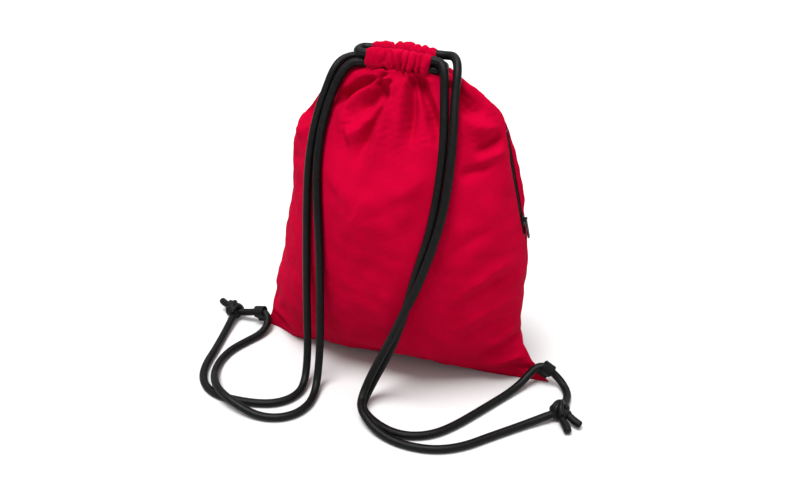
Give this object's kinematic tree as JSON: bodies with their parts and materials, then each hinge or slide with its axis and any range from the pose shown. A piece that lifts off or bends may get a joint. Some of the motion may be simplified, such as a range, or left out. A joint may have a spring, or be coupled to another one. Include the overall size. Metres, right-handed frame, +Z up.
{
  "type": "drawstring backpack",
  "caption": "Cotton drawstring backpack with braided cord shoulder straps, webbing corner tabs and a short zip in its side seam.",
  "frame": {"origin": "middle of the standing face, on the line between the bottom corners", "axes": "+Z up to the gathered mouth, -Y out of the panel that carries the shoulder cords, +X towards the side zip"},
  "size_m": [0.4556, 0.2484, 0.356],
  "materials": {
    "cotton": "plain weave, matt",
    "lining": "thin plain weave",
    "red_thread": "spun thread",
    "black_thread": "spun thread",
    "webbing": "woven webbing",
    "cord": "braided, slight sheen",
    "zip_tape": "knitted tape",
    "zip_coil": "satin nylon",
    "zip_metal": "black enamel"
  },
  "bodies": {
    "bag": {"back_panel": "cotton", "front_panel": "cotton", "back_casing": "cotton", "front_casing": "cotton", "back_casing_stitching": "red_thread", "front_casing_stitching": "red_thread", "pocket_lining": "lining", "zip_tape_back": "zip_tape", "zip_tape_front": "zip_tape", "zip_coil_back": "zip_coil", "zip_coil_front": "zip_coil", "zip_bottom_stop": "zip_metal", "zip_top_stop": "zip_metal", "left_tab": "webbing", "right_tab": "webbing", "left_tab_stitching": "black_thread", "right_tab_stitching": "black_thread", "left_cord_in_casing": "cord", "right_cord_in_casing": "cord", "left_cord_outer_strand": "cord", "left_cord_inner_strand": "cord", "right_cord_inner_strand": "cord", "right_cord_outer_strand": "cord", "left_knot": "cord", "right_knot": "cord", "left_cord_tails": "cord", "right_cord_tails": "cord"},
    "slider": {"zip_slider": "zip_metal", "zip_puller_pin": "zip_metal"},
    "puller": {"zip_puller": "zip_metal"}
  },
  "joints": [
    {"name": "zip_slide", "type": "slide", "parent": "bag", "child": "slider", "axis": [-0.2205, 0, 0.9754], "range_m": [0, 0.085]},
    {"name": "puller_hinge", "type": "hinge", "parent": "slider", "child": "puller", "pos_m": [0.13231, 0, 0.19416], "axis": [0, -1, 0], "range_deg": [0, 150]}
  ]
}
